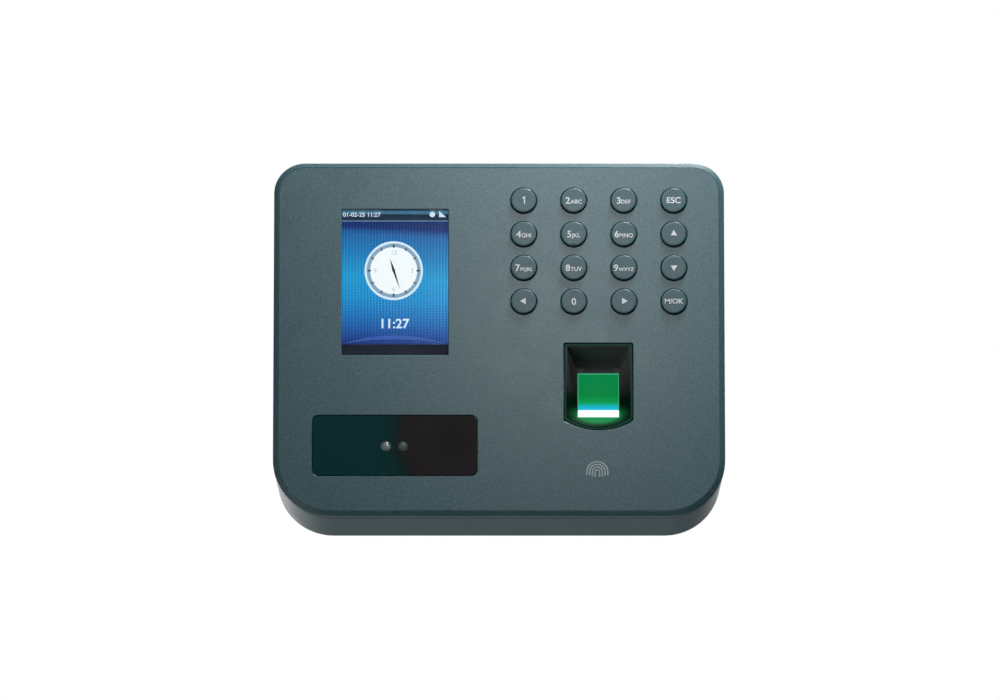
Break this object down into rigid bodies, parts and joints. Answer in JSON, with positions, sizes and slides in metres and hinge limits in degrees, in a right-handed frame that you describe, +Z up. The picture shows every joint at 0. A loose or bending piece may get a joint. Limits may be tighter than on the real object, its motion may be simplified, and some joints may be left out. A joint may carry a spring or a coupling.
{
  "type": "fingerprint scanner terminal",
  "caption": "Wall-mounted box with a colour display, a round-key keypad, a camera window and a recessed fingerprint reader, on a steel bracket.",
  "frame": {"origin": "centre of the wall bracket's back face, where it lies on the wall", "axes": "+Y into the wall, so the front faces -Y; +Z up; +X to the right as seen by someone facing the terminal"},
  "size_m": [0.18, 0.039, 0.1462],
  "materials": {
    "case_plastic": "finely textured satin blue-grey moulded plastic",
    "key_plastic": "smooth satin blue-grey moulded plastic with white legends",
    "bracket_steel": "zinc-plated sheet steel",
    "screw_steel": "zinc-plated",
    "clear_window": "clear polished acrylic",
    "smoked_window": "smoked polished acrylic",
    "screen": "lit display",
    "sheet_steel": "satin sheet steel",
    "white_plastic": "satin",
    "light_bar": "lit diffuser",
    "ribbon_film": "polyimide film",
    "circuit_board": "green solder mask",
    "black_plastic": "semi-gloss black",
    "lens": "polished",
    "sensor_glass": "polished, lit green",
    "silicone": "matt",
    "cone_paper": "matt",
    "terminal_plastic": "satin"
  },
  "bodies": {
    "case": {"front_cover": "case_plastic", "rear_housing": "case_plastic", "wall_bracket": "bracket_steel", "housing_screw_1": "screw_steel", "housing_screw_2": "screw_steel", "housing_screw_3": "screw_steel", "housing_screw_4": "screw_steel", "bracket_screw": "screw_steel", "display_window": "clear_window", "camera_window": "smoked_window", "display_glass": "screen", "display_frame": "sheet_steel", "processor_shield": "sheet_steel", "coin_cell": "sheet_steel", "coin_cell_clip": "sheet_steel", "usb_port": "sheet_steel", "ethernet_jack": "sheet_steel", "speaker_frame": "sheet_steel", "display_backlight": "white_plastic", "sensor_light_bar": "light_bar", "display_ribbon": "ribbon_film", "keypad_ribbon": "ribbon_film", "camera_board": "circuit_board", "keypad_board": "circuit_board", "sensor_board": "circuit_board", "main_board": "circuit_board", "visible_camera": "black_plastic", "infrared_camera": "black_plastic", "fingerprint_bezel": "black_plastic", "sensor_housing": "black_plastic", "relay": "black_plastic", "power_jack": "black_plastic", "tamper_switch": "black_plastic", "reset_switch": "black_plastic", "ir_led_left": "lens", "ir_led_right": "lens", "sensor_lens": "lens", "fingerprint_prism": "sensor_glass", "keypad_mat": "silicone", "speaker_cone": "cone_paper", "wiring_terminals": "terminal_plastic"},
    "key_1": {"key_1": "key_plastic"},
    "key_2": {"key_2": "key_plastic"},
    "key_3": {"key_3": "key_plastic"},
    "key_escape": {"key_escape": "key_plastic"},
    "key_4": {"key_4": "key_plastic"},
    "key_5": {"key_5": "key_plastic"},
    "key_6": {"key_6": "key_plastic"},
    "key_up": {"key_up": "key_plastic"},
    "key_7": {"key_7": "key_plastic"},
    "key_8": {"key_8": "key_plastic"},
    "key_9": {"key_9": "key_plastic"},
    "key_down": {"key_down": "key_plastic"},
    "key_left": {"key_left": "key_plastic"},
    "key_0": {"key_0": "key_plastic"},
    "key_right": {"key_right": "key_plastic"},
    "key_ok": {"key_ok": "key_plastic"},
    "tamper_plunger": {"tamper_plunger": "white_plastic"},
    "reset_button": {"reset_button": "black_plastic"}
  },
  "joints": [
    {"name": "key_1_press", "type": "slide", "parent": "case", "child": "key_1", "axis": [0, 1, 0], "range_m": [0, 0.0009], "stiffness_N_per_m": 400, "springref_m": -0.0002, "deforming": ["keypad_mat"]},
    {"name": "key_2_press", "type": "slide", "parent": "case", "child": "key_2", "axis": [0, 1, 0], "range_m": [0, 0.0009], "stiffness_N_per_m": 400, "springref_m": -0.0002, "deforming": ["keypad_mat"]},
    {"name": "key_3_press", "type": "slide", "parent": "case", "child": "key_3", "axis": [0, 1, 0], "range_m": [0, 0.0009], "stiffness_N_per_m": 400, "springref_m": -0.0002, "deforming": ["keypad_mat"]},
    {"name": "key_escape_press", "type": "slide", "parent": "case", "child": "key_escape", "axis": [0, 1, 0], "range_m": [0, 0.0009], "stiffness_N_per_m": 400, "springref_m": -0.0002, "deforming": ["keypad_mat"]},
    {"name": "key_4_press", "type": "slide", "parent": "case", "child": "key_4", "axis": [0, 1, 0], "range_m": [0, 0.0009], "stiffness_N_per_m": 400, "springref_m": -0.0002, "deforming": ["keypad_mat"]},
    {"name": "key_5_press", "type": "slide", "parent": "case", "child": "key_5", "axis": [0, 1, 0], "range_m": [0, 0.0009], "stiffness_N_per_m": 400, "springref_m": -0.0002, "deforming": ["keypad_mat"]},
    {"name": "key_6_press", "type": "slide", "parent": "case", "child": "key_6", "axis": [0, 1, 0], "range_m": [0, 0.0009], "stiffness_N_per_m": 400, "springref_m": -0.0002, "deforming": ["keypad_mat"]},
    {"name": "key_up_press", "type": "slide", "parent": "case", "child": "key_up", "axis": [0, 1, 0], "range_m": [0, 0.0009], "stiffness_N_per_m": 400, "springref_m": -0.0002, "deforming": ["keypad_mat"]},
    {"name": "key_7_press", "type": "slide", "parent": "case", "child": "key_7", "axis": [0, 1, 0], "range_m": [0, 0.0009], "stiffness_N_per_m": 400, "springref_m": -0.0002, "deforming": ["keypad_mat"]},
    {"name": "key_8_press", "type": "slide", "parent": "case", "child": "key_8", "axis": [0, 1, 0], "range_m": [0, 0.0009], "stiffness_N_per_m": 400, "springref_m": -0.0002, "deforming": ["keypad_mat"]},
    {"name": "key_9_press", "type": "slide", "parent": "case", "child": "key_9", "axis": [0, 1, 0], "range_m": [0, 0.0009], "stiffness_N_per_m": 400, "springref_m": -0.0002, "deforming": ["keypad_mat"]},
    {"name": "key_down_press", "type": "slide", "parent": "case", "child": "key_down", "axis": [0, 1, 0], "range_m": [0, 0.0009], "stiffness_N_per_m": 400, "springref_m": -0.0002, "deforming": ["keypad_mat"]},
    {"name": "key_left_press", "type": "slide", "parent": "case", "child": "key_left", "axis": [0, 1, 0], "range_m": [0, 0.0009], "stiffness_N_per_m": 400, "springref_m": -0.0002, "deforming": ["keypad_mat"]},
    {"name": "key_0_press", "type": "slide", "parent": "case", "child": "key_0", "axis": [0, 1, 0], "range_m": [0, 0.0009], "stiffness_N_per_m": 400, "springref_m": -0.0002, "deforming": ["keypad_mat"]},
    {"name": "key_right_press", "type": "slide", "parent": "case", "child": "key_right", "axis": [0, 1, 0], "range_m": [0, 0.0009], "stiffness_N_per_m": 400, "springref_m": -0.0002, "deforming": ["keypad_mat"]},
    {"name": "key_ok_press", "type": "slide", "parent": "case", "child": "key_ok", "axis": [0, 1, 0], "range_m": [0, 0.0009], "stiffness_N_per_m": 400, "springref_m": -0.0002, "deforming": ["keypad_mat"]},
    {"name": "tamper_plunger_press", "type": "slide", "parent": "case", "child": "tamper_plunger", "axis": [0, -1, 0], "range_m": [0, 0.0008], "stiffness_N_per_m": 300, "springref_m": -0.001},
    {"name": "reset_button_press", "type": "slide", "parent": "case", "child": "reset_button", "axis": [-1, 0, 0], "range_m": [0, 0.0005], "stiffness_N_per_m": 500, "springref_m": -0.0002}
  ]
}
